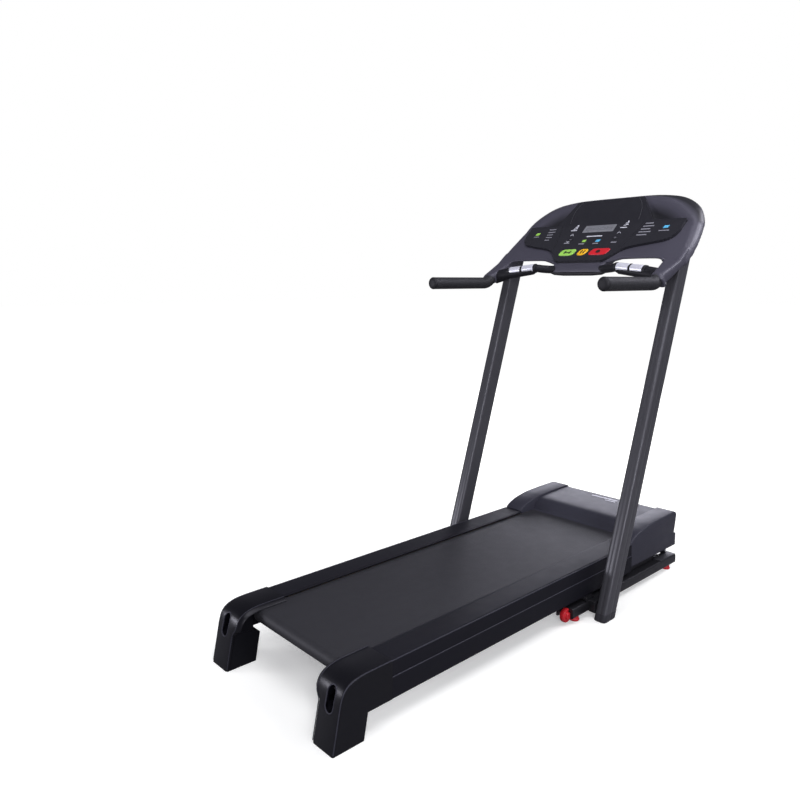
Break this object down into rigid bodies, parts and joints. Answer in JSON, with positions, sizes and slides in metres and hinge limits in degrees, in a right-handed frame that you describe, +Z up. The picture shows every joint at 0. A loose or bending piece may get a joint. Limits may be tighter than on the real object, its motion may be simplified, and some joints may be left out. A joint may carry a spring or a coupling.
{
  "type": "treadmill",
  "caption": "Folding motorised treadmill: a low base with leaning uprights, a console with grip handles, and a belt deck that swings up about the front of the base.",
  "frame": {"origin": "on the floor, at the middle of the footprint, with the rear feet at -Y and the front of the motor hood at +Y", "axes": "+X is to the user's right, +Y points forward from the rear feet to the motor hood, +Z is up; the deck is unfolded at rest"},
  "size_m": [0.792, 1.6, 1.3828],
  "materials": {
    "frame_paint": "satin black powder coat",
    "upright_paint": "satin dark grey paint",
    "upright_cap": "matte black moulding",
    "foot_red": "red rubber",
    "wheel_red": "red moulded wheel",
    "steel": "plain turned steel",
    "pulse_dark": "black moulding",
    "pulse_silver": "satin metal contact plate",
    "foam": "matte dark grey foam",
    "rail_charcoal": "finely grained charcoal",
    "rear_cap_black": "satin black",
    "hood_charcoal": "satin charcoal",
    "console_grey": "satin slate grey",
    "gloss_black": "glossy black",
    "matte_black": "matte black",
    "display": "grey liquid crystal window",
    "green": "green",
    "yellow": "yellow",
    "red": "red",
    "board": "waxed board",
    "belt_rubber": "fine woven texture",
    "motor_paint": "black paint",
    "controller_metal": "plain cast fins"
  },
  "bodies": {
    "base": {"base_side_tube_left": "frame_paint", "base_side_tube_right": "frame_paint", "base_front_crossbar": "frame_paint", "base_rear_crossbar": "frame_paint", "upright_left": "upright_paint", "upright_right": "upright_paint", "upright_cap_left": "upright_cap", "upright_cap_right": "upright_cap", "foot_front_left": "foot_red", "foot_front_right": "foot_red", "foot_rear_left": "foot_red", "foot_rear_right": "foot_red", "wheel_bracket_left": "steel", "wheel_bracket_right": "steel", "hinge_pin_left": "steel", "hinge_pin_right": "steel", "grip_tube_left": "steel", "grip_tube_right": "steel", "latch_rod": "steel", "pulse_bar_left": "pulse_dark", "pulse_bar_right": "pulse_dark", "pulse_plate_left": "pulse_silver", "pulse_plate_right": "pulse_silver", "foam_grip_left": "foam", "foam_grip_right": "foam", "console_frame": "console_grey", "console_overlay": "gloss_black", "console_upper_back": "gloss_black", "console_lower_back": "matte_black", "display_lens": "display"},
    "deck": {"foot_rail_left": "rail_charcoal", "foot_rail_right": "rail_charcoal", "rear_end_cap_left": "rear_cap_black", "rear_end_cap_right": "rear_cap_black", "hood_end_cap_left": "hood_charcoal", "hood_end_cap_right": "hood_charcoal", "tension_bolt_left": "steel", "tension_bolt_right": "steel", "deck_frame": "frame_paint", "deck_board": "board", "running_belt": "belt_rubber", "rear_axle": "steel", "front_axle": "steel", "motor": "motor_paint", "drive_belt": "belt_rubber", "controller": "controller_metal", "motor_pan": "matte_black", "power_inlet": "matte_black", "hood_cover": "hood_charcoal"},
    "wheel_left": {"wheel_left": "wheel_red"},
    "wheel_right": {"wheel_right": "wheel_red"},
    "rear_roller": {"rear_roller": "steel"},
    "front_roller": {"front_roller": "steel"},
    "motor_rotor": {"motor_rotor": "steel"},
    "button_start": {"button_start": "green"},
    "button_pause": {"button_pause": "yellow"},
    "button_stop": {"button_stop": "red"},
    "key_minus": {"key_minus": "matte_black"},
    "key_plus": {"key_plus": "matte_black"},
    "safety_key": {"safety_key": "matte_black"}
  },
  "joints": [
    {"name": "deck_fold", "type": "hinge", "parent": "base", "child": "deck", "pos_m": [0, 0.759, 0.06], "axis": [-1, 0, 0], "range_deg": [0, 66]},
    {"name": "wheel_left_spin", "type": "hinge", "parent": "base", "child": "wheel_left", "pos_m": [-0.274, 0.106, 0.03], "axis": [1, 0, 0], "continuous": true},
    {"name": "wheel_right_spin", "type": "hinge", "parent": "base", "child": "wheel_right", "pos_m": [0.274, 0.106, 0.03], "axis": [1, 0, 0], "continuous": true},
    {"name": "front_roller_spin", "type": "hinge", "parent": "deck", "child": "front_roller", "pos_m": [0, 0.575, 0.136], "axis": [1, 0, 0], "continuous": true},
    {"name": "rear_roller_spin", "type": "hinge", "parent": "deck", "child": "rear_roller", "pos_m": [0, -0.692, 0.136], "axis": [1, 0, 0], "continuous": true},
    {"name": "motor_rotor_spin", "type": "hinge", "parent": "deck", "child": "motor_rotor", "pos_m": [0, 0.69, 0.128], "axis": [1, 0, 0], "continuous": true},
    {"name": "button_start_press", "type": "slide", "parent": "base", "child": "button_start", "axis": [0, 0.6639, -0.7478], "range_m": [0, 0.0012], "stiffness_N_per_m": 400},
    {"name": "button_pause_press", "type": "slide", "parent": "base", "child": "button_pause", "axis": [0, 0.6639, -0.7478], "range_m": [0, 0.0012], "stiffness_N_per_m": 400},
    {"name": "button_stop_press", "type": "slide", "parent": "base", "child": "button_stop", "axis": [0, 0.6639, -0.7478], "range_m": [0, 0.0012], "stiffness_N_per_m": 400},
    {"name": "key_minus_press", "type": "slide", "parent": "base", "child": "key_minus", "axis": [0, 0.6639, -0.7478], "range_m": [0, 0.0007], "stiffness_N_per_m": 300},
    {"name": "key_plus_press", "type": "slide", "parent": "base", "child": "key_plus", "axis": [0, 0.6639, -0.7478], "range_m": [0, 0.0007], "stiffness_N_per_m": 300},
    {"name": "safety_key_pull", "type": "slide", "parent": "base", "child": "safety_key", "axis": [0, 0, -1], "range_m": [0, 0.03]}
  ],
  "couplings": [
    {"joint": "rear_roller_spin", "follows": "front_roller_spin", "ratio": 1},
    {"joint": "motor_rotor_spin", "follows": "front_roller_spin", "ratio": 2.0687}
  ]
}
